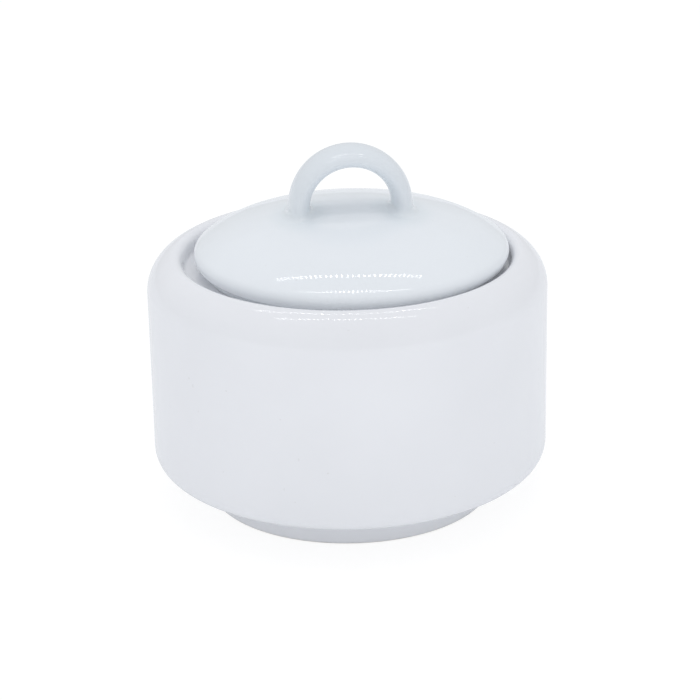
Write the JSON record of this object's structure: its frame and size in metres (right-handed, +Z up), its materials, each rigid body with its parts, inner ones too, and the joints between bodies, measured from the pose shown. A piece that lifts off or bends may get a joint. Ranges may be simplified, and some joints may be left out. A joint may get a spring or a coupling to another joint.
{
  "type": "sugar bowl",
  "caption": "Round covered sugar bowl in white glazed porcelain: straight body on a foot ring, rounded shoulder, and a recessed lift-off dome lid with a loop handle.",
  "frame": {"origin": "on the bowl's axis, in the plane that the foot ring stands on", "axes": "+Z up along the bowl's axis, X along the loop handle from leg to leg, Y through the loop"},
  "size_m": [0.094, 0.094, 0.0856],
  "materials": {
    "bowl_glaze": "gloss white glaze",
    "lid_glaze": "gloss white glaze",
    "handle_glaze": "gloss white glaze"
  },
  "bodies": {
    "bowl": {"bowl": "bowl_glaze"},
    "lid": {"lid": "lid_glaze", "lid_handle": "handle_glaze"}
  },
  "joints": [
    {"name": "lid_lift", "type": "slide", "parent": "bowl", "child": "lid", "axis": [0, 0, 1], "range_m": [0, 0.12]}
  ]
}
